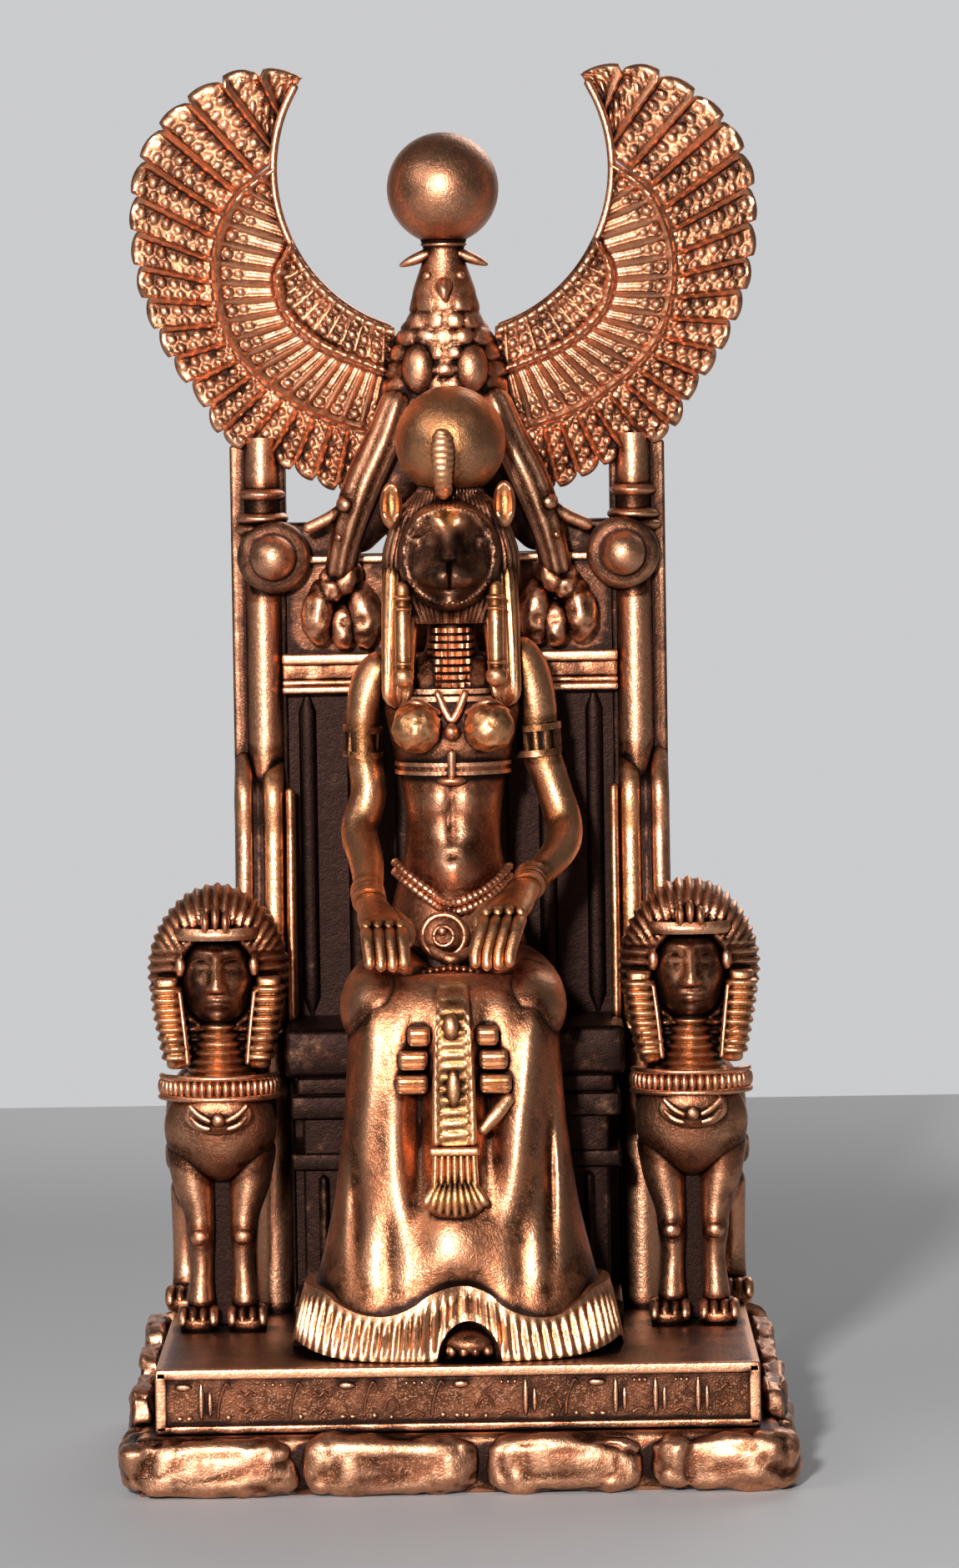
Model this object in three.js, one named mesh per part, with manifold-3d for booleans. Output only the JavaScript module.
// A lioness-headed goddess enthroned between two sphinxes, under a falcon with raised wings.
// Millimetres, +Z up, front towards -Y, origin under the middle of the rock base.
import * as THREE from 'three';
import { mergeVertices } from 'three/addons/utils/BufferGeometryUtils.js';
import Module from 'manifold-3d';

const wasm = await Module();
wasm.setup();

// Driving sizes
const GODDESS_HEIGHT = 177;
const SPHINX_HEIGHT = 84;
const WING_SPAN = 119.6;
const WING_THICKNESS = 4.4;
const THRONE_HEIGHT = 166.5;
const SEAT_WIDTH = 64;
const SEAT_DEPTH = 28;
const POST_WIDTH = 10.5;
const POST_DEPTH = 12;
const BACK_THICKNESS = 8;
const CORNICE_HEIGHT = 7.6;
const ARM_WIDTH = 9;
const RING_RADIUS = 7;
const RING_THICKNESS = 5;
const BOSS_RADIUS = 4.7;
const BOSS_INSET = 3;
const PLINTH_HEIGHT = 12;
const PLINTH_RIM = 2;
const PLINTH_RECESS = 0.8;
const PLINTH_MARGIN = 2;
const ROCK_COURSE = 11;
const ROCK_UPPER_COURSE = 11.5;
const ROCK_REACH = 7;
const CLEARANCE = 0.3;
const THINNING = 1.6;

// The height that each free form is drawn at below, so that it follows its own driving size
const drawn = { goddess: 177, sphinx: 84, falcon: 119.6 };
const goddessScale = GODDESS_HEIGHT / drawn.goddess;
const sphinxScale = SPHINX_HEIGHT / drawn.sphinx;
const falconScale = WING_SPAN / drawn.falcon;

// Places that follow from the driving sizes
const plinthTop = ROCK_COURSE + PLINTH_HEIGHT;
const seatFront = 2 * goddessScale;
const seatTop = 57 * goddessScale;
const throneBack = seatFront + SEAT_DEPTH + BACK_THICKNESS;
const panelFront = seatFront + SEAT_DEPTH;
const postX = 36.25 * falconScale;
const postFront = throneBack - POST_DEPTH;
const ringDrop = 21.8 * falconScale;
const railDrop = 21.2 * falconScale;
const shoulderDrop = 15 * falconScale;
const corniceDrop = 39.9 * falconScale;
const falconY = panelFront - CLEARANCE - 1.7 * falconScale;
const sphinxX = SEAT_WIDTH / 2 + PLINTH_MARGIN + 10.5 * sphinxScale;
const sphinxY = seatFront;
const sphinxLength = 40.5 * sphinxScale;
const armBottom = 54.5 * sphinxScale;
const armFront = sphinxY + 20 * sphinxScale;
const plinthHalf = sphinxX + 10.5 * sphinxScale;
const plinthFront = -41 * goddessScale - PLINTH_MARGIN;
const plinthBack = Math.max(throneBack, sphinxY + sphinxLength) + PLINTH_MARGIN / 2;
const rockHalf = plinthHalf + ROCK_REACH + 1;
const rockFront = plinthFront - ROCK_REACH;
const rockBack = plinthBack + ROCK_REACH - 1.5;

// A closed geometry becomes a solid that can be joined and cut
function toSolid(geometry) {
  const bare = geometry.clone();
  bare.deleteAttribute('normal');
  bare.deleteAttribute('uv');
  const merged = mergeVertices(bare, 1e-4);
  return new wasm.Manifold(new wasm.Mesh({
    numProp: 3,
    vertProperties: new Float32Array(merged.attributes.position.array),
    triVerts: new Uint32Array(merged.index.array),
  }));
}

function toGeometry(solid) {
  const mesh = solid.getMesh();
  const geometry = new THREE.BufferGeometry();
  geometry.setAttribute('position', new THREE.BufferAttribute(mesh.vertProperties, 3));
  geometry.setIndex(new THREE.BufferAttribute(mesh.triVerts, 1));
  return geometry;
}

function unite(solids) {
  return solids.reduce((whole, next) => whole.add(next));
}

// A free form drawn at its own height, brought to size and set in its place
function place(solid, size, x, y, z) {
  return toSolid(toGeometry(solid).scale(size, size, size).translate(x, y, z));
}

function mirrorX(solid) {
  const geometry = toGeometry(solid).scale(-1, 1, 1);
  const index = geometry.index.array;
  for (let i = 0; i < index.length; i += 3) {
    [index[i], index[i + 1]] = [index[i + 1], index[i]];
  }
  return toSolid(geometry);
}

// A box between two opposite corners
function block(x0, x1, y0, y1, z0, z1) {
  const box = new THREE.BoxGeometry(x1 - x0, y1 - y0, z1 - z0);
  return toSolid(box.translate((x0 + x1) / 2, (y0 + y1) / 2, (z0 + z1) / 2));
}

function ball(x, y, z, rx, ry = rx, rz = rx, around = 8, down = 5) {
  const sphere = new THREE.SphereGeometry(1, around, down).rotateX(Math.PI / 2);
  return toSolid(sphere.scale(rx, ry, rz).translate(x, y, z));
}

// An outline of [x, z] points, drawn in the front view and given a thickness from yFront to yBack
function plate(outline, yFront, yBack) {
  const shape = new THREE.Shape(outline.map(([x, z]) => new THREE.Vector2(x, z)));
  const slab = new THREE.ExtrudeGeometry(shape, { depth: yBack - yFront, bevelEnabled: false });
  return toSolid(slab.rotateX(Math.PI / 2).translate(0, yBack, 0));
}

// A closed skin over a row of rings, with a fan at each end
function skin(rings) {
  const sides = rings[0].length;
  const sum = (ring) => ring.reduce((total, p) => total.add(p), new THREE.Vector3());
  const middle = (ring) => sum(ring).divideScalar(sides);
  const points = [...rings.flat(), middle(rings[0]), middle(rings[rings.length - 1])];
  const faces = [];
  const lastRing = (rings.length - 1) * sides;
  for (let k = 0; k < sides; k += 1) {
    const next = (k + 1) % sides;
    for (let i = 0; i < lastRing; i += sides) {
      faces.push(i + k, i + next, i + next + sides);
      faces.push(i + k, i + next + sides, i + k + sides);
    }
    faces.push(points.length - 2, next, k);
    faces.push(points.length - 1, lastRing + k, lastRing + next);
  }
  let volume = 0;
  for (let i = 0; i < faces.length; i += 3) {
    const [a, b, c] = [points[faces[i]], points[faces[i + 1]], points[faces[i + 2]]];
    volume += a.dot(new THREE.Vector3().crossVectors(b, c));
  }
  const geometry = new THREE.BufferGeometry().setFromPoints(points);
  geometry.setIndex(volume > 0 ? faces : faces.reverse());
  return toSolid(geometry);
}

// A smooth run of values through the stations, with so many steps between two of them
function smooth(stations, steps) {
  const last = stations.length - 1;
  const at = (i) => stations[Math.min(Math.max(i, 0), last)];
  const run = [];
  for (let i = 0; i < last; i += 1) {
    for (let s = 0; s < steps; s += 1) {
      const t = s / steps;
      run.push(at(i).map((b, j) => {
        const [a, c, d] = [at(i - 1)[j], at(i + 1)[j], at(i + 2)[j]];
        return b + 0.5 * t * (c - a + t * (2 * a - 5 * b + 4 * c - d + t * (3 * (b - c) + d - a)));
      }));
    }
  }
  run.push(stations[last]);
  return run;
}

// A rounded form built up in level rings: each level is [z, x, half width, front y, back y].
// fullness 1 gives an oval, less gives a squarer plan.
function stack(levels, sides = 12, fullness = 1) {
  const round = (v) => Math.sign(v) * Math.abs(v) ** fullness;
  return skin(levels.map(([z, x, half, front, back]) => Array.from({ length: sides }, (_, k) => {
    const turn = (2 * Math.PI * (k + 0.5)) / sides;
    const y = (front + back) / 2 + ((back - front) / 2) * round(Math.sin(turn));
    return new THREE.Vector3(x + half * round(Math.cos(turn)), y, z);
  })));
}

// A limb along stations of [x, y, z, half width, half depth], rings square to its path
function limb(stations, sides = 8, across = new THREE.Vector3(1, 0, 0)) {
  const centre = stations.map(([x, y, z]) => new THREE.Vector3(x, y, z));
  const last = stations.length - 1;
  return skin(stations.map(([, , , wide, deep], i) => {
    const along = centre[Math.min(i + 1, last)].clone().sub(centre[Math.max(i - 1, 0)]).normalize();
    const side = across.clone().addScaledVector(along, -across.dot(along)).normalize();
    const up = new THREE.Vector3().crossVectors(along, side);
    return Array.from({ length: sides }, (_, k) => {
      const turn = (2 * Math.PI * (k + 0.5)) / sides;
      return centre[i].clone()
        .addScaledVector(side, wide * Math.cos(turn))
        .addScaledVector(up, deep * Math.sin(turn));
    });
  }));
}

// The squared distance of a point from all planes that a quadric sums, as ten coefficients
function planeMisfit(q, p) {
  const linear = q[6] * p.x + q[7] * p.y + q[8] * p.z;
  const squares = q[0] * p.x * p.x + q[3] * p.y * p.y + q[5] * p.z * p.z;
  return squares + 2 * (q[1] * p.x * p.y + q[2] * p.x * p.z + q[4] * p.y * p.z + linear) + q[9];
}

// Facets that carry no shape are folded away: the edge whose loss moves the surface least goes
// first, until the next one would move it by more than the tolerance
function thin(solid, tolerance) {
  const mesh = solid.getMesh();
  const points = [];
  for (let i = 0; i < mesh.vertProperties.length; i += 3) {
    points.push(new THREE.Vector3().fromArray(mesh.vertProperties, i));
  }
  const faces = [];
  const around = points.map(() => new Set());
  const quadrics = points.map(() => new Float64Array(10));
  const cross = (a, b, c) => new THREE.Vector3().crossVectors(b.clone().sub(a), c.clone().sub(a));
  for (let i = 0; i < mesh.triVerts.length; i += 3) {
    const corners = Array.from(mesh.triVerts.slice(i, i + 3));
    const n = cross(...corners.map((k) => points[k])).normalize();
    const d = -n.dot(points[corners[0]]);
    const squares = [n.x * n.x, n.x * n.y, n.x * n.z, n.y * n.y, n.y * n.z, n.z * n.z];
    const terms = [...squares, n.x * d, n.y * d, n.z * d, d * d];
    corners.forEach((k) => {
      around[k].add(faces.length);
      terms.forEach((term, j) => {
        quadrics[k][j] += term;
      });
    });
    faces.push(corners);
  }
  const neighbours = (k) => new Set([...around[k]].flatMap((f) => faces[f]).filter((v) => v !== k));
  const turns = (k, other, spot) => [...around[k]].some((f) => {
    if (faces[f].includes(other)) return false;
    const before = cross(...faces[f].map((v) => points[v]));
    const after = cross(...faces[f].map((v) => (v === k ? spot : points[v])));
    return after.dot(before) < 0.2 * after.length() * before.length() || after.length() < 0.004;
  });
  const fold = (a, b, spot) => {
    points[a].copy(spot);
    quadrics[b].forEach((term, j) => {
      quadrics[a][j] += term;
    });
    [...around[b]].forEach((f) => {
      if (faces[f].includes(a)) {
        faces[f].forEach((v) => around[v].delete(f));
        faces[f] = null;
      } else {
        faces[f] = faces[f].map((v) => (v === b ? a : v));
        around[a].add(f);
      }
    });
    around[b].clear();
  };
  for (let pass = 0, folded = 1; pass < 60 && folded; pass += 1) {
    folded = 0;
    const edges = [];
    faces.forEach((face) => face && face.forEach((a, i) => {
      const b = face[(i + 1) % 3];
      if (a < b) {
        const sum = quadrics[a].map((term, j) => term + quadrics[b][j]);
        const spots = [points[a], points[b], points[a].clone().lerp(points[b], 0.5)];
        const costs = spots.map((spot) => planeMisfit(sum, spot));
        const least = costs.indexOf(Math.min(...costs));
        const cost = costs[least] + 1e-5 * points[a].distanceToSquared(points[b]);
        if (cost < tolerance * tolerance) edges.push([cost, a, b, spots[least].clone()]);
      }
    }));
    edges.sort((first, second) => first[0] - second[0]);
    const touched = new Set();
    edges.forEach(([, a, b, spot]) => {
      if (touched.has(a) || touched.has(b)) return;
      const near = neighbours(a);
      const shared = [...neighbours(b)].filter((v) => near.has(v));
      if (shared.length !== 2 || turns(a, b, spot) || turns(b, a, spot)) return;
      neighbours(b).forEach((v) => touched.add(v));
      near.forEach((v) => touched.add(v));
      fold(a, b, spot);
      folded += 1;
    });
  }
  const geometry = new THREE.BufferGeometry().setFromPoints(points);
  geometry.setIndex(faces.filter((face) => face).flat());
  return toSolid(geometry.toNonIndexed());
}

// Rock base: rough blocks in two courses around a core, with a flat seat for the plinth
function rockBase() {
  const sides = 8;
  const bulge = [[0, 0.95], [0.55, 1], [1, 0.88]];
  const boulder = (x0, x1, y0, y1, z0, z1) => stack(
    bulge.map(([rise, full]) => [
      z0 + (z1 - z0) * rise,
      (x0 + x1) / 2,
      ((x1 - x0) / 2) * full,
      (y0 + y1) / 2 - ((y1 - y0) / 2) * full,
      (y0 + y1) / 2 + ((y1 - y0) / 2) * full,
    ]),
    sides,
    0.5,
  );
  const rocks = [block(-rockHalf + 4, rockHalf - 4, rockFront + 4, rockBack - 4, 0, ROCK_COURSE)];
  const joints = [-1, -0.455, 0.075, 0.545, 1];
  const row = (stops, make) => stops.slice(1).forEach((stop, i) => make(stops[i], stop, i));
  const lap = 0.6;
  row(joints, (a, b, i) => rocks.push(boulder(
    a * rockHalf + (i ? -lap : 0),
    b * rockHalf,
    rockFront,
    rockFront + 15,
    0,
    ROCK_COURSE,
  )));
  row([-1, -0.3, 0.35, 1], (a, b, i) => rocks.push(boulder(
    a * rockHalf + (i ? -lap : 0),
    b * rockHalf,
    rockBack - 15,
    rockBack,
    0,
    ROCK_COURSE,
  )));
  const sideRun = rockBack - rockFront - 28;
  row([0, 0.36, 0.66, 1], (a, b, i) => [-1, 1].forEach((side) => {
    const inner = side * (rockHalf - 14);
    const outer = side * rockHalf;
    rocks.push(boulder(
      Math.min(inner, outer),
      Math.max(inner, outer),
      rockFront + 14 + a * sideRun - lap,
      rockFront + 14 + b * sideRun + lap,
      0,
      ROCK_COURSE,
    ));
    rocks.push(boulder(
      Math.min(side * (plinthHalf - 2), side * (rockHalf - 1.8)),
      Math.max(side * (plinthHalf - 2), side * (rockHalf - 1.8)),
      plinthFront + 12 + a * (plinthBack - plinthFront - 14) - lap,
      plinthFront + 12 + b * (plinthBack - plinthFront - 14) + lap,
      ROCK_COURSE - 3,
      ROCK_COURSE + ROCK_UPPER_COURSE * (0.62 + 0.19 * (side > 0 ? i * 0.5 : i)),
    ));
  }));
  row([-1, -0.25, 0.4, 1], (a, b, i) => rocks.push(boulder(
    a * (rockHalf - 2) + (i ? -lap : 0),
    b * (rockHalf - 2),
    plinthBack - 2,
    rockBack - 1,
    ROCK_COURSE - 3,
    ROCK_COURSE + ROCK_UPPER_COURSE * (i === 1 ? 0.85 : 0.98),
  )));
  const pocket = block(
    -plinthHalf - CLEARANCE,
    plinthHalf + CLEARANCE,
    plinthFront - 2 * ROCK_REACH,
    plinthBack + CLEARANCE,
    ROCK_COURSE,
    ROCK_COURSE + 2 * PLINTH_HEIGHT,
  );
  return thin(unite(rocks), THINNING / 3).subtract(pocket);
}

// Plinth: a slab with a rim above and below a sunk band, and shallow strokes in rows along the band
function plinth() {
  const z0 = ROCK_COURSE;
  const z1 = plinthTop;
  const rim = PLINTH_RIM;
  const sunk = PLINTH_RECESS;
  let slab = block(-plinthHalf, plinthHalf, plinthFront, plinthBack, z0, z1);
  const band = (x0, x1, y0, y1) => block(x0, x1, y0, y1, z0 + rim, z1 - rim);
  slab = slab.subtract(band(-plinthHalf + rim, plinthHalf - rim, plinthFront - sunk, plinthFront + sunk));
  [-1, 1].forEach((side) => {
    const edge = side * plinthHalf;
    const cut = band(edge - sunk, edge + sunk, plinthFront + rim, plinthBack - rim);
    slab = slab.subtract(cut);
  });
  const tall = PLINTH_HEIGHT - 2 * rim;
  const count = 18;
  const pitch = (2 * (plinthHalf - rim)) / count;
  const strokes = [];
  for (let i = 0; i < count; i += 1) {
    const x = -plinthHalf + rim + pitch * (i + 0.5);
    const y = plinthFront + sunk;
    const low = z0 + rim;
    if (i % 3 === 0) {
      const [foot, head] = [low + 0.12 * tall, low + 0.88 * tall];
      strokes.push(block(x - 0.5, x + 0.5, y - sunk * 0.6, y + sunk, foot, head));
    } else {
      const half = pitch * (i % 3 === 1 ? 0.38 : 0.3);
      [0.25, 0.7].forEach((share) => {
        const z = low + share * tall;
        strokes.push(block(x - half, x + half, y - sunk * 0.6, y + sunk, z - 0.45, z + 0.45));
      });
    }
  }
  return unite([slab, ...strokes]);
}

// Throne: stepped seat, back panel with cornice and leaves, two posts with bosses, and low arms
function throne() {
  const z0 = plinthTop;
  const seatZ = z0 + seatTop;
  const topZ = z0 + THRONE_HEIGHT;
  const half = SEAT_WIDTH / 2;
  const railZ = topZ - railDrop;
  const corniceZ = topZ - corniceDrop;
  const solids = [];
  const course = (low, high, wide, deep) => solids.push(
    block(
      -half * wide,
      half * wide,
      seatFront - deep,
      throneBack - 1,
      z0 + seatTop * low,
      z0 + seatTop * high,
    ),
  );
  course(0, 0.09, 0.97, 0.2);
  course(0, 0.98, 0.9, -1.2);
  course(0.53, 0.59, 0.97, -0.6);
  course(0.7, 0.78, 0.97, -0.4);
  course(0.78, 0.84, 0.93, -0.8);
  course(0.84, 1, 1, 0);
  for (let i = 0; i < 6; i += 1) {
    const x = half * (0.78 - 0.11 * (i % 3));
    const side = i < 3 ? -1 : 1;
    solids.push(block(
      side * x - 0.9,
      side * x + 0.9,
      seatFront + 0.5,
      seatFront + 3,
      z0 + seatTop * 0.1,
      z0 + seatTop * 0.52,
    ));
  }
  solids.push(block(-postX, postX, panelFront, throneBack, z0, railZ));
  solids.push(block(-postX, postX, panelFront - 1.2, throneBack, railZ - 1.6, railZ));
  const shoulder = 16.8 * falconScale;
  [-postX, shoulder].forEach((x) => solids.push(
    block(x, x + postX - shoulder, panelFront, throneBack, railZ - 1, topZ - shoulderDrop),
  ));
  const inner = postX - POST_WIDTH / 2 + 1;
  const mould = [[0, 1.4, 4.2], [1.4, 2.6, 3.2], [2.6, 5.6, 2.6], [5.6, CORNICE_HEIGHT, 4]];
  mould.forEach(([low, high, reach]) => {
    const z = corniceZ - CORNICE_HEIGHT;
    solids.push(block(-inner, inner, panelFront - reach, panelFront + 1, z + low, z + high));
  });
  for (let i = 0; i < 7; i += 1) {
    const x = -inner + ((i + 0.5) * 2 * inner) / 7;
    solids.push(block(x - 1.6, x + 1.6, panelFront - 0.9, panelFront + 1, seatZ, corniceZ - CORNICE_HEIGHT));
  }
  [-1, 1].forEach((side) => {
    const x = side * postX;
    const w = POST_WIDTH / 2;
    solids.push(block(x - w, x + w, postFront + 3.5, throneBack, z0, topZ));
    const rod = [
      [z0, x - side * 0.8, w * 0.72, postFront, postFront + 8],
      [topZ - 16, x - side * 0.8, w * 0.66, postFront, postFront + 8],
      [topZ, x - side * 0.8, w * 0.66, postFront, postFront + 8],
    ];
    solids.push(stack(rod, 10));
    const collar = (z, wide) => stack([
      [z - 1, x - side * 0.8, w * wide * 0.9, postFront - 0.8, postFront + 8],
      [z, x - side * 0.8, w * wide, postFront - 1.4, postFront + 8],
      [z + 1, x - side * 0.8, w * wide * 0.9, postFront - 0.8, postFront + 8],
    ], 10);
    solids.push(collar(topZ - 10.8, 0.82));
    solids.push(collar(topZ - 14.4, 0.98));
    const bossX = x - side * BOSS_INSET;
    const ring = new THREE.CylinderGeometry(RING_RADIUS, RING_RADIUS, RING_THICKNESS, 16);
    solids.push(toSolid(ring.translate(bossX, postFront, topZ - ringDrop)));
    solids.push(ball(bossX, postFront - BOSS_RADIUS * 0.75, topZ - ringDrop, BOSS_RADIUS));
    solids.push(arm(side, z0, w));
  });
  return unite(solids);
}

// One arm: a panel behind the sphinx's head whose top edge sweeps down from the post
function arm(side, z0, w) {
  const high = z0 + armBottom + 53;
  const low = z0 + armBottom + 28;
  const outline = smooth([
    [postFront + 5, high],
    [postFront - 1, high - 7],
    [(postFront + armFront) / 2 + 1, low + 9],
    [armFront + 1, low],
  ], 3);
  outline.push([armFront, low - 6], [armFront, z0 + armBottom], [postFront + 5, z0 + armBottom]);
  const shape = new THREE.Shape(outline.map(([y, z]) => new THREE.Vector2(y, z)));
  const panel = new THREE.ExtrudeGeometry(shape, { depth: ARM_WIDTH, bevelEnabled: false });
  panel.rotateX(Math.PI / 2).rotateZ(Math.PI / 2);
  const x = side * (postX + w) - (side > 0 ? ARM_WIDTH : 0);
  return toSolid(panel.translate(x, 0, 0));
}

// Curves of the raised wing in the front view, [x, z] from the middle of the bird and its perch
const wingRim = [
  [26.4, 70.5], [39, 70.8], [51, 64], [58, 53.5], [59.3, 40.4], [57.5, 28.5],
  [52.6, 17], [46.6, 8.4], [42.5, 1.5], [33, -3], [21, -8.8], [9, -12],
];
const wingMiddle = [[39.5, 47.5], [43.8, 37.5], [43.6, 27], [40, 17.5], [31, 9], [21.5, 4], [9, 0.4]];
const wingInner = [[32.4, 32], [30.5, 24.5], [26, 19.8], [20.5, 16.6], [9, 12]];
const CRESCENT_RADIUS = 31.7;
const CRESCENT_HEIGHT = 52.2;
const MIDDLE_SHARE = 0.295;
const INNER_SHARE = 0.55;
const FEATHERS = 18;
const COVERTS = 9;

const curve = (points) => new THREE.SplineCurve(points.map(([x, z]) => new THREE.Vector2(x, z)));

// The open crescent round the disc, from the wing tip down to the shoulder
function crescent(share) {
  const turn = THREE.MathUtils.degToRad(33.6 - share * 106);
  return new THREE.Vector2(
    CRESCENT_RADIUS * Math.cos(turn),
    CRESCENT_HEIGHT + CRESCENT_RADIUS * Math.sin(turn),
  );
}

// One wing: three tiers that step forward towards the leading edge, each with its quills
function wing() {
  const rim = curve(wingRim);
  const middle = curve([crescent(MIDDLE_SHARE).toArray(), ...wingMiddle]);
  const inner = curve([crescent(INNER_SHARE).toArray(), ...wingInner]);
  const half = WING_THICKNESS / 2 / falconScale;
  const tiers = [-0.15 * half, -0.55 * half, -half];
  const rimShare = (s) => s + 0.35 * s * (1 - s);
  const outward = (share, reach) => {
    const along = rim.getTangentAt(share);
    return rim.getPointAt(share).add(new THREE.Vector2(along.y, -along.x).multiplyScalar(-reach));
  };
  const outer = [];
  for (let i = 0; i < FEATHERS; i += 1) {
    outer.push(outward(rimShare(i / FEATHERS), 0.3));
    outer.push(outward(rimShare((i + 0.8) / FEATHERS), -0.6));
  }
  outer.push(rim.getPointAt(1));
  const flat = (points) => points.map((p) => [p.x, p.y]);
  const arc = (from, steps) => {
    const share = (i) => 1 - ((1 - from) * i) / steps;
    return Array.from({ length: steps }, (_, i) => crescent(share(i)));
  };
  const shoulder = (z) => new THREE.Vector2(6, z);
  const solids = [
    plate(flat([...outer, shoulder(12), ...arc(0, 10)]), tiers[0], half),
    plate(flat([...middle.getSpacedPoints(8), shoulder(14), ...arc(MIDDLE_SHARE, 7)]), tiers[1], 0),
    plate(flat([...inner.getSpacedPoints(6), shoulder(18), ...arc(INNER_SHARE, 5)]), tiers[2], 0),
  ];
  const quill = (from, to, depth, wide) => solids.push(limb([
    [from.x, depth, from.y, wide, wide * 0.8],
    [to.x, depth, to.y, wide * 0.8, wide * 0.7],
  ], 3));
  for (let i = 1; i < FEATHERS - 2; i += 1) {
    quill(middle.getPointAt(i / FEATHERS), outward(rimShare(i / FEATHERS), -0.4), tiers[0], 0.75);
  }
  for (let i = 1; i < COVERTS; i += 1) {
    quill(inner.getPointAt(i / COVERTS), middle.getPointAt(0.12 + (0.86 * i) / COVERTS), tiers[1], 0.6);
  }
  const roll = (points, depth, wide) => solids.push(limb(
    points.map((p) => [p.x, depth, p.y, wide, wide]),
    4,
    new THREE.Vector3(0, 1, 0),
  ));
  roll(middle.getSpacedPoints(7), tiers[1] + 0.2, 0.9);
  roll(inner.getSpacedPoints(5), tiers[2] + 0.2, 0.8);
  const lip = [...arc(0.02, 9), crescent(0.02)].map((p) => p.add(new THREE.Vector2(0.7, -0.4)));
  roll(lip, tiers[2] + 0.9, 1.1);
  return unite(solids);
}

// Falcon: body, raised wings, sun disc on its head, feathered legs and taloned feet
function falcon() {
  const feetZ = -corniceDrop / falconScale;
  const tailZ = -railDrop / falconScale;
  const body = stack([
    [tailZ - 1, 0, 9.4, -3.5, 5],
    [-16, 0, 11.4, -4.6, 5.4],
    [-9, 0, 13.4, -5.6, 5.8],
    [1, 0, 12.6, -7.2, 6],
    [8, 0, 12, -7.8, 6],
    [14.6, 0, 10.8, -8, 6],
    [20, 0, 9.2, -7.8, 5],
    [24, 0, 6.8, -7.6, 3.6],
    [29, 0, 5.9, -7.8, 2],
    [35.3, 0, 3.9, -6.6, 0.6],
    [38.5, 0, 4.4, -6.4, 0.8],
  ], 10);
  const solids = [body, ball(0, -2.8, 48.2, 10.6, 10.6, 10.6, 14, 8)];
  solids.push(limb([[0, -7, 30, 1.8, 1.8], [0, -9.6, 28.6, 1.2, 1.4], [0, -10, 26.8, 0.4, 0.6]], 5));
  for (let row = 0; row < 4; row += 1) {
    for (let i = 0; i < 3; i += 1) {
      const x = (i - 1 + (row % 2) * 0.5) * 4.6;
      solids.push(ball(x, -7.2 + Math.abs(x) * 0.12, 20.5 - row * 4.6, 2.6, 1.5, 3, 5, 3));
    }
  }
  [-1, 1].forEach((side) => {
    const halfWing = wing();
    solids.push(side > 0 ? halfWing : mirrorX(halfWing));
    solids.push(limb([
      [side * 2, -4, 36.2, 1.2, 1.6],
      [side * 6, -4, 34.6, 1, 1.4],
      [side * 8.4, -4, 33.6, 0.2, 0.4],
    ], 5));
    solids.push(limb([
      [side * 8.4, -5.4, 10, 3, 3],
      [side * 11.6, -6.4, 1, 3.6, 3.2],
      [side * 15.4, -6.4, -7, 3.8, 3.2],
      [side * 18, -5.4, -14, 3.4, 3],
      [side * 19.8, -4.2, -20.5, 2.9, 2.6],
      [side * 20.8, -3.2, -26, 3, 2.4],
    ], 6));
    solids.push(limb([
      [side * 6, -3, 0, 6, 3.4],
      [side * 10.4, -3.6, -8, 6, 3.2],
      [side * 15, -3, -14.5, 4.4, 3],
      [side * 18.4, -2.6, -20.4, 2.4, 2.4],
    ], 6));
    solids.push(ball(side * 19.2, -6.6, -11.4, 1.9, 2.6, 1.9, 6, 4));
    solids.push(limb([
      [side * 19, -6, -11.6, 1.5, 1.5],
      [side * 22.6, -5.4, -13.6, 1.2, 1.2],
      [side * 25, -4.8, -14, 0.9, 0.9],
    ], 5));
    for (let toe = 0; toe < 4; toe += 1) {
      const x = side * (15.8 + 3.5 * toe);
      const spread = (toe - 1.2) * 0.5 * side;
      solids.push(limb([
        [side * 21, -1.6, -22 - Math.abs(toe - 1.5), 2, 2],
        [x - spread, -2.4, -28.5, 2.1, 2.4],
        [x, -2, -35, 1.9, 2.4],
        [x + spread * 0.4, -1.6, feetZ - 0.5, 1.5, 1.9],
      ], 5));
    }
  });
  const perch = unite([
    block(-40, 40, -12, 12, feetZ - 9, feetZ),
    block(-15, 15, -1, 12, tailZ - 5, tailZ),
    block(-30, 30, 0.5, 12, tailZ - 5, tailZ + CLEARANCE),
    block(30.5, 46, -12, 12, -9, 0),
    block(-46, -30.5, -12, 12, -9, 0),
  ]);
  return thin(unite(solids), THINNING).subtract(perch);
}

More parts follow.
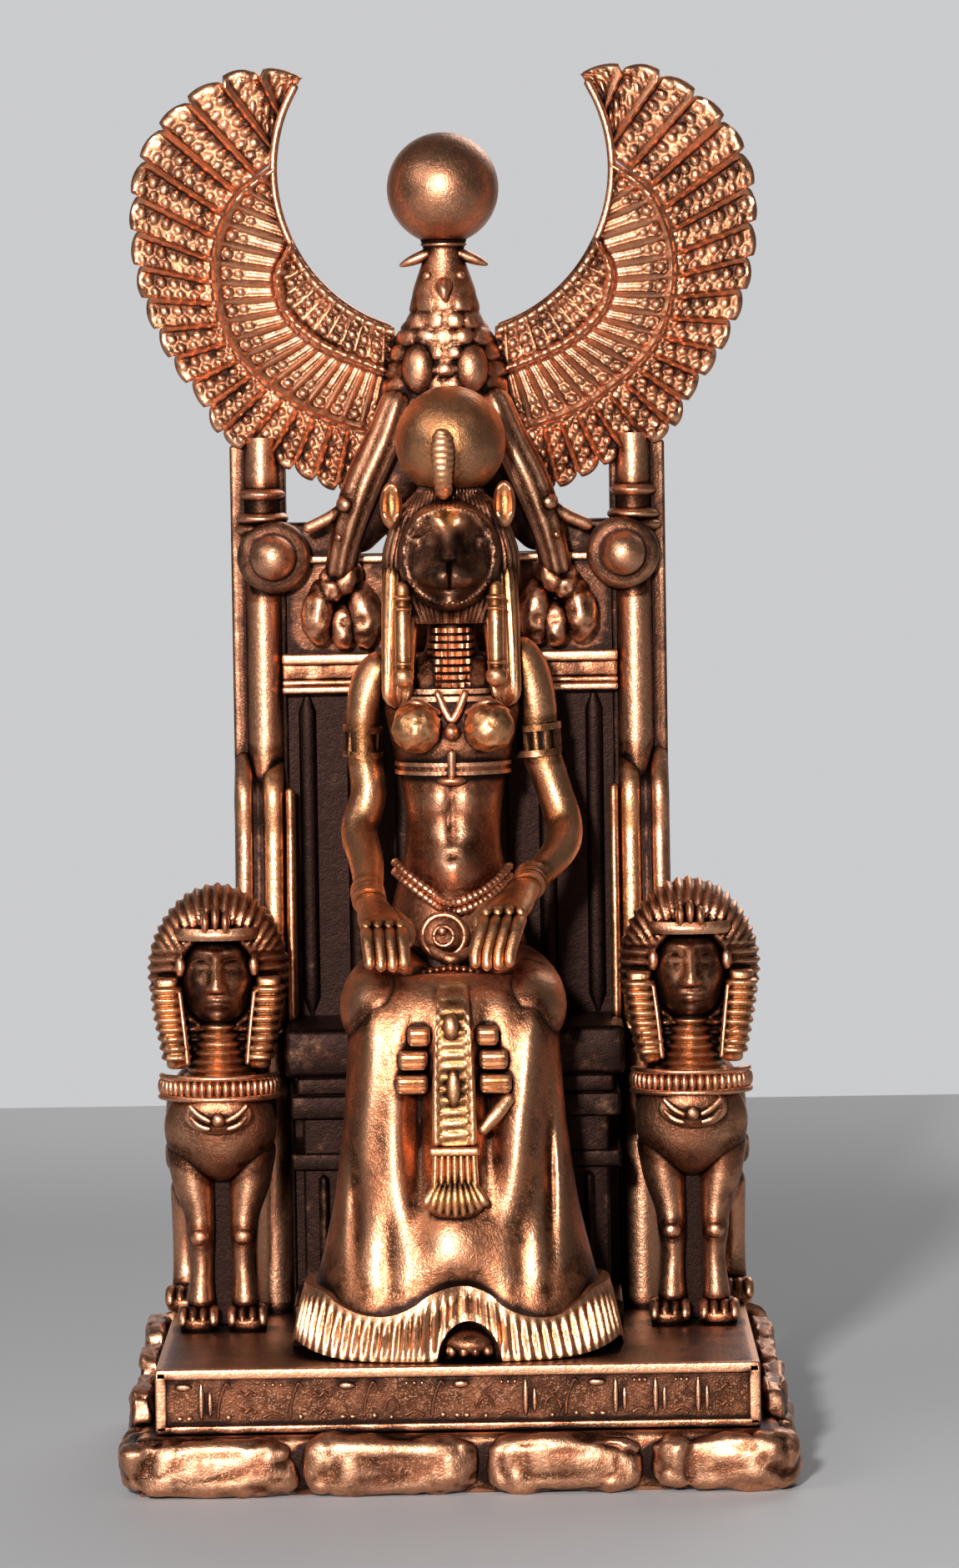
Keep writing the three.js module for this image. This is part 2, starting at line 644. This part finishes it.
// The skirt in level rings: two shins push its front out, and the cloth falls in between them
function skirt() {
  const sides = 28;
  const levels = [
    [-0.5, 28, -37.4, 1.6, 2.5, 0.4],
    [1.6, 30, -39, 1.6, 2.5, 0.4],
    [8.4, 28.4, -37, 1.6, 1.6, 0.35],
    [9, 27, -35.8, 1.6, 1, 0],
    [16.5, 25, -34.2, 1.6, -0.6, 0],
    [26, 22.8, -32, 1.6, 0, 0],
    [34, 21.6, -30.8, 1.6, 3, 0],
    [42, 20.6, -30.2, 1.6, 5.4, 0],
    [50, 20, -29.6, 1.6, 6.4, 0],
    [59, 19.2, -28.4, 1.6, 6.6, 0],
    [65, 18, -26, 1.6, 6, 0],
    [69, 15.2, -22.4, -1, 4, 0],
  ];
  return skin(levels.map(([z, half, front, back, valley, pleat]) => Array.from({ length: sides }, (_, k) => {
    const turn = (2 * Math.PI * (k + 0.5)) / sides;
    const round = (v) => Math.sign(v) * Math.abs(v) ** 0.62;
    const x = half * round(Math.cos(turn)) * (1 + (pleat / 30) * (k % 2 ? 1 : -1));
    const deep = Math.sin(turn) < 0 ? valley * Math.exp(-((x / 6.5) ** 2)) + pleat * (k % 2 ? 1 : -1) : 0;
    const y = (front + back) / 2 + ((back - front) / 2) * round(Math.sin(turn)) + deep;
    return new THREE.Vector3(x, y, z);
  })));
}

// One arm with its shoulder, armlet, bracelet, hand and fingers. The hand rests on the knee, higher
// and further in on the right; out is how far the elbow stands from the middle.
function armAndHand(side, lift, out, reach) {
  const wrist = [side * (15.4 - reach * 0.4), -6.4, 82.2 + lift];
  const solids = [limb([
    [side * 12.4, 11.6, 124, 4, 4],
    [side * 16, 12.2, 119, 4.4, 4.4],
    [side * 16.4, 12.4, 110, 3.6, 3.9],
    [side * (out - 1.8), 12, 101, 3.4, 3.7],
    [side * out, 9.6, 94, 3.5, 3.6],
    [side * (out - 1.4), 2.4, 88.4 + lift * 0.5, 3.2, 3],
    [...wrist, 2.5, 2.3],
  ], 7)];
  const band = (from, to, wide) => limb([[...from, wide, wide], [...to, wide, wide]], 7);
  solids.push(band([side * 16.3, 12.4, 113.4], [side * 16.6, 12.4, 107.6], 4.3));
  solids.push(band([side * (15.8 - reach * 0.3), -4.4, 83.4 + lift], [wrist[0], -6.6, 82 + lift], 3.1));
  const knuckle = [side * (12.6 - reach), -19.6, 77.4 + lift];
  const between = (share) => wrist.map((v, i) => v + share * (knuckle[i] - v));
  solids.push(limb([
    [...between(0), 2.5, 2.2],
    [...between(0.5), 3.6, 2.1],
    [...between(1), 4, 1.9],
  ], 6));
  for (let i = 0; i < 4; i += 1) {
    const x = knuckle[0] + side * (2.1 * i - 3.15);
    const tip = x - side * (0.6 + reach * 0.5);
    solids.push(limb([
      [x, knuckle[1] + 1, knuckle[2] - 0.2, 1.15, 1.5],
      [(x + tip) / 2, -24.4, 75.4 + lift * 0.5, 1.1, 1.3],
      [tip, -27, 70.6 + 0.5 * Math.abs(i - 1.4), 0.8, 0.9],
    ], 5));
  }
  solids.push(limb([
    [wrist[0] - side * 3.4, -11, 80.4 + lift, 1.3, 1.3],
    [knuckle[0] - side * 4.4, -16, 77.6 + lift, 1.2, 1.2],
    [knuckle[0] - side * 4.6, -19.4, 74.4 + lift, 0.8, 0.8],
  ], 5));
  return unite(solids);
}

// Head of a lioness in a long wig: ruff, muzzle, ears, lappets, cobra and sun disc
function lionessHead() {
  const solids = [
    stack([
      [133, 0.6, 9.6, 3.6, 15],
      [138.5, 0.6, 12.2, 1.6, 16.4],
      [145, 0.6, 12.8, 0.8, 17],
      [150.5, 0.6, 11.3, 1.4, 17],
      [154.5, 0.6, 9.2, 2.2, 16],
      [157.6, 0.6, 6.2, 3, 14],
      [160, 0.9, 5.6, 3.4, 13.6],
    ], 12),
    ball(0.4, 1.6, 144.8, 8.9, 4.4, 9.2, 10, 6),
    ball(0.4, -1.8, 141.8, 4.6, 4.2, 4.2, 7, 5),
    ball(0.4, -4.2, 145.3, 2, 2.2, 1.5, 6, 4),
    ball(0.4, -0.6, 137.6, 3.2, 3.3, 2.4, 6, 4),
    limb([[0.4, -0.8, 154.6, 3.8, 1.6], [0.4, -2.8, 150.5, 1.9, 1.8], [0.4, -4.4, 146.4, 1.5, 1.6]], 6),
    ball(0.9, 8.5, 167, 10.4, 10.4, 10.4, 14, 8),
    limb([[-0.4, 2, 154.5, 1.8, 2.2], [-0.6, -1.4, 160, 2.1, 1.8], [-0.6, -2.4, 167.4, 1.4, 1.6]], 5),
  ];
  [-1, 1].forEach((side) => {
    solids.push(ball(0.2 + side * 9.4, 5, 154.6, 3, 2.2, 3.6, 6, 4));
    solids.push(ball(0.4 + side * 3, -2, 153, 2.9, 2, 1.9, 6, 4));
    solids.push(limb([
      [0.2 + side * 8.6, 1.6, 141, 1.6, 1.8],
      [0.2 + side * 8.7, -0.6, 133, 1.5, 1.6],
      [0.2 + side * 8.7, -1, 121, 1.5, 1.6],
    ], 6));
    solids.push(ball(0.2 + side * 8.7, -1.8, 123.3, 2, 1.8, 1.9, 6, 4));
    solids.push(limb([
      [0.4 + side * 8.6, 9, 144, 3.8, 5.5],
      [0.4 + side * 9.6, 8, 132, 3.2, 5],
      [0.4 + side * 10.2, 5, 117.4, 2.6, 3.4],
    ], 6));
  });
  return unite(solids);
}

// The hanging front of the skirt: panel, fringe and flower end, with three blocks of sash each side
function apron() {
  const solids = [
    limb([[0, -25.5, 68, 4.2, 1.2], [0, -32, 61, 4.2, 1.2], [0, -32.8, 38.4, 4, 1.2]], 5),
    block(-4.6, 4.6, -34.6, -29, 37.2, 38.8),
    ball(0, -33, 27.6, 6.6, 2.2, 3.6, 8, 4),
    ball(-0.6, -31, 59, 2.4, 3, 3.8, 6, 4),
    ball(-0.4, -32.2, 49.5, 2, 2.6, 5, 6, 4),
  ];
  for (let i = 0; i < 5; i += 1) {
    const x = (i - 2) * 1.6;
    solids.push(limb([[x, -32.8, 38, 0.95, 1.3], [x * 1.04, -33, 29, 0.9, 1.2]], 5));
    solids.push(ball(x * 1.7, -33.6, 26.4 + Math.abs(i - 2) * 0.9, 1.5, 1.9, 1.5, 5, 3));
  }
  [[48.2, -7.7, 2.9], [52.6, -7.4, 2.6], [57, -6.3, 2]].forEach(([z, x, half]) => {
    solids.push(block(x - half, x + half, -32, -22, z, z + 3.8));
    solids.push(block(-x - half, -x + half, -31.6, -22, z, z + 3.8));
  });
  return unite(solids);
}

// Goddess: drawn from the plinth up, with the seat cut away beneath her
function goddess() {
  const torso = stack([
    [56, 0, 15, -3, 21],
    [70, 0.2, 14, -2.4, 21.4],
    [79, 0.2, 11.8, 0.6, 20],
    [87, 0.2, 9.8, 2.4, 18.6],
    [93, 0.3, 8.9, 3.2, 17.6],
    [103, 0.4, 9.8, 2.4, 18.4],
    [113, 0.6, 12.2, 1.6, 19.6],
    [121, 0.6, 13.4, 3.6, 20],
    [125.4, 0.6, 9.6, 5.6, 18],
    [128, 0.5, 5, 6, 17],
    [138, 0.5, 4.4, 5.6, 16],
  ], 12);
  const ring = (z, high, half, front, back) => stack([
    [z, 0.5, half, front, back],
    [z + high, 0.5, half, front, back],
  ], 12);
  const arms = [armAndHand(-1, 0, 17.4, 0), armAndHand(1, 2.4, 21.2, 3)];
  const solids = [skirt(), torso, apron(), lionessHead(), ...arms];
  solids.push(ring(104.8, 1.8, 10.8, 1.4, 19.2));
  solids.push(ring(118.6, 1.4, 13.2, 2, 20.6));
  for (let i = 0; i < 3; i += 1) {
    solids.push(ring(120.6 + 3.6 * i, 1.9, 5.6 - 0.5 * i, 2.6 + 1.3 * i, 17));
  }
  solids.push(limb([
    [-11, 7, 87.4, 1.2, 1.6],
    [-8.6, 2.8, 85.4, 1.2, 1.6],
    [-4, 0.6, 82, 1.2, 1.6],
    [-0.4, -0.4, 80, 1.2, 1.6],
    [4.6, 0.6, 81.4, 1.2, 1.6],
    [8.6, 3, 84, 1.2, 1.6],
    [11, 7.4, 86.4, 1.2, 1.6],
  ], 4, new THREE.Vector3(0, 0, 1)));
  solids.push(ball(-1.7, -2.6, 74.8, 4.9, 3, 4.6, 8, 4));
  solids.push(ball(0.2, -1.2, 87.4, 4.6, 5, 4, 7, 4));
  solids.push(ball(0.2, 1.4, 103.8, 2.8, 1.8, 1.2, 6, 3));
  solids.push(limb([[0.4, 2, 118, 1.2, 1.4], [0.2, 0.8, 104, 0.9, 1]], 5));
  solids.push(ball(0.3, 0.6, 112.9, 1.6, 2.6, 1.6, 6, 4));
  [-1, 1].forEach((side) => {
    solids.push(ball(0.6 + side * 6.8, -0.2, 113.6, 4.7, 4.6, 4.6, 8, 5));
    solids.push(limb([
      [side * 8.5, 14, 65, 9, 8.4],
      [side * 11.6, -4, 64, 8.8, 8.4],
      [side * 13, -17, 62.4, 8, 8],
      [side * 13.4, -25, 60, 5.8, 6.4],
    ], 8));
    solids.push(limb([
      [side * 18.4, -15, 62, 1.5, 1.8],
      [side * 18.6, -17.4, 42, 1.4, 1.8],
      [side * 20.6, -20, 24, 1.4, 1.8],
      [side * 24.4, -22.6, 12, 1.4, 1.8],
      [side * 27.6, -24, 6.6, 1.2, 1.6],
    ], 5));
  });
  const toes = [
    limb([
      [2.2, -19, 4, 3.6, 3.4],
      [2.2, -31, 4, 4, 3.4],
      [2.2, -38, 2.6, 4.5, 2.8],
      [2.2, -40.4, 2, 3.6, 2],
    ], 7),
  ];
  for (let i = 0; i < 4; i += 1) {
    toes.push(ball(-0.9 + 2.1 * i, -39.2 + 0.3 * Math.abs(i - 1), 1.5, 1.3, 1.8, 1.4, 5, 3));
  }
  const arch = ball(2.2, -36, 0, 5.8, 14, 7.6, 10, 6);
  const whole = unite(solids).subtract(arch);
  const under = block(-40, 40, -50, 30, -20, 0);
  return thin(unite([whole, ...toes]), THINNING).subtract(under);
}

// Sphinx: drawn with its front paws at y = 0 and its body running back
function sphinx() {
  const solids = [
    limb([
      [0, 3, 40, 8.4, 9.4],
      [0, 9, 41, 10.8, 11.5],
      [0, 20, 40, 9.6, 10.2],
      [0, 31, 39, 9.4, 10.8],
      [0, 37.5, 37.5, 7, 8.4],
      [0, 40.4, 36.5, 3, 4],
    ], 10),
    ball(0, 5.6, 38.4, 10.6, 6.2, 10.2, 8, 5),
    stack([[44, 0, 7, 3, 17], [52, 0, 6, 2.8, 15], [60, 0, 4.2, 2.6, 14]], 8),
    stack([
      [44, 0, 10.4, -1.4, 15],
      [46.3, 0, 11.2, -2.7, 16],
      [48.6, 0, 10, -1.4, 15.6],
      [51, 0, 7, 1.4, 15],
    ], 12),
    ball(0, 4.8, 66, 6.5, 6.4, 8.2, 8, 6),
    stack([[58.6, 0, 3, -0.4, 6], [60.6, 0, 3.6, -1.4, 6]], 6),
    ball(0, -1.3, 65, 1.1, 1.7, 2.4, 5, 3),
    block(-3, 3, 7.5, 10.5, -0.5, 33),
    ball(0, -1.4, 41.4, 6.4, 1.4, 3.6, 7, 3),
  ];
  const hood = stack([
    [51.4, 0, 10.2, 3.4, 14],
    [58, 0, 10.9, 3.2, 15],
    [62.6, 0, 11.3, 2.8, 16],
    [64.5, 0, 13.5, 2.4, 16.6],
    [68, 0, 12.8, 2, 17],
    [74, 0, 11, 0.8, 17.4],
    [79, 0, 8.6, 0.4, 16.6],
    [82.5, 0, 5, 3, 14],
    [84, 0, 1.2, 6.5, 10.5],
  ], 12);
  const faceWindow = ball(0, -0.5, 66.5, 7.2, 5.6, 9, 10, 6);
  solids.push(hood.subtract(faceWindow));
  solids.push(stack([[74.4, 0, 7.4, -1.6, 6], [76.2, 0, 7.6, -1.8, 6]], 8));
  [-1, 0, 1].forEach((i) => {
    solids.push(ball(i * 1.9, -0.6, 77.6 - Math.abs(i) * 0.6, 0.9, 2.2, 2.4, 5, 3));
  });
  [-1, 1].forEach((side) => {
    solids.push(limb([
      [side * 8.9, 4.6, 64.4, 1.9, 4],
      [side * 8.4, 3.4, 58, 2.3, 4.4],
      [side * 8, 2.8, 50.6, 2.5, 4.4],
    ], 6));
    for (let i = 0; i < 4; i += 1) {
      const share = i / 3;
      const x = side * (8.8 - 0.8 * share);
      const y = 2.2 - 2.7 * share ** 0.7;
      const half = 2 + 0.6 * share;
      solids.push(block(x - half, x + half, y - 1.9, y + 1, 62.6 - 11.6 * share, 64.4 - 11.6 * share));
    }
    solids.push(limb([
      [side * 6, 7.5, 38, 5, 5.5],
      [side * 5.4, 6.8, 29, 4.1, 4.6],
      [side * 4.3, 6, 22, 2.9, 3.6],
      [side * 4.1, 5.4, 17.8, 2.6, 3.2],
      [side * 3.9, 5.4, 13, 2.1, 2.7],
      [side * 4.1, 5.2, 8.5, 2.3, 2.8],
      [side * 4.3, 5, 3, 3, 3.4],
    ], 6));
    solids.push(stack([
      [-0.5, side * 4.65, 3.6, 0.6, 9],
      [2.4, side * 4.65, 3.8, 0.3, 9],
      [4.6, side * 4.6, 3, 2.6, 9],
    ], 10, 0.7));
    for (let i = 0; i < 4; i += 1) {
      const x = side * 4.65 + (i - 1.5) * 1.95;
      solids.push(ball(x, 1.4 + 0.3 * Math.abs(i - 1.5), 2.3, 1.05, 1.8, 2.1, 4, 3));
    }
    solids.push(ball(side * 6.2, 32, 32, 4.8, 8, 12.5, 8, 5));
    solids.push(limb([
      [side * 7.4, 34, 26, 3.8, 5],
      [side * 8.4, 37, 15, 2.6, 3],
      [side * 8.5, 37.4, 8, 2.5, 2.6],
      [side * 8.4, 35.6, 2, 2.8, 2.4],
    ], 6));
    solids.push(stack([
      [-0.5, side * 8.4, 2.8, 27.4, 39.6],
      [2.8, side * 8.4, 2.8, 27.8, 39.6],
      [5, side * 8.4, 2.2, 31, 39.2],
    ], 10, 0.7));
  });
  solids.push(limb([
    [0, 38, 41, 1.8, 1.8],
    [4.5, 39.4, 34, 1.5, 1.5],
    [9.8, 34, 28, 1.5, 1.5],
    [9.8, 28, 33, 1.8, 1.8],
  ], 5));
  return thin(unite(solids), THINNING).subtract(block(-20, 20, -20, 60, -20, 0));
}

// What the throne takes of each sphinx's flank: its seat side, post and arm, and the clearance
function throneKeepsFrom(side) {
  const span = (x0, x1) => [Math.min(side * x0, side * x1), Math.max(side * x0, side * x1)];
  const outer = postX + POST_WIDTH / 2 + CLEARANCE;
  const high = plinthTop + THRONE_HEIGHT;
  return unite([
    block(...span(0, SEAT_WIDTH / 2 + CLEARANCE), seatFront - 9, throneBack + 9, 0, high),
    block(...span(0, outer), postFront - CLEARANCE, throneBack + 9, 0, high),
    block(...span(0, outer), armFront - CLEARANCE, throneBack, plinthTop + armBottom - CLEARANCE, high),
  ]);
}

const metal = (color, roughness) => new THREE.MeshStandardMaterial({ color, roughness, metalness: 0.9 });

function toMesh(name, solid, material) {
  const mesh = new THREE.Mesh(toGeometry(solid), material);
  mesh.name = name;
  return mesh;
}

const group = new THREE.Group();
group.add(toMesh('rock_base', rockBase(), metal(0x6b4432, 0.42)));
group.add(toMesh('plinth', plinth(), metal(0x8a5238, 0.38)));
group.add(toMesh('throne', throne(), metal(0x8a4a30, 0.35)));
const bird = place(falcon(), falconScale, 0, falconY, plinthTop + THRONE_HEIGHT);
group.add(toMesh('winged_falcon', bird, metal(0x9a5436, 0.33)));
const seat = block(
  -SEAT_WIDTH,
  SEAT_WIDTH,
  seatFront - CLEARANCE,
  throneBack,
  plinthTop,
  plinthTop + seatTop + CLEARANCE,
);
const figure = place(goddess(), goddessScale, 0, 0, plinthTop).subtract(seat);
group.add(toMesh('goddess', figure, metal(0xa8683c, 0.3)));
[['sphinx_left', -1], ['sphinx_right', 1]].forEach(([name, side]) => {
  const beast = side > 0 ? sphinx() : mirrorX(sphinx());
  const placed = place(beast, sphinxScale, side * sphinxX, sphinxY, plinthTop);
  group.add(toMesh(name, placed.subtract(throneKeepsFrom(side)), metal(0x8f4e33, 0.34)));
});
group.position.y = -(rockFront + rockBack) / 2;

export default group;
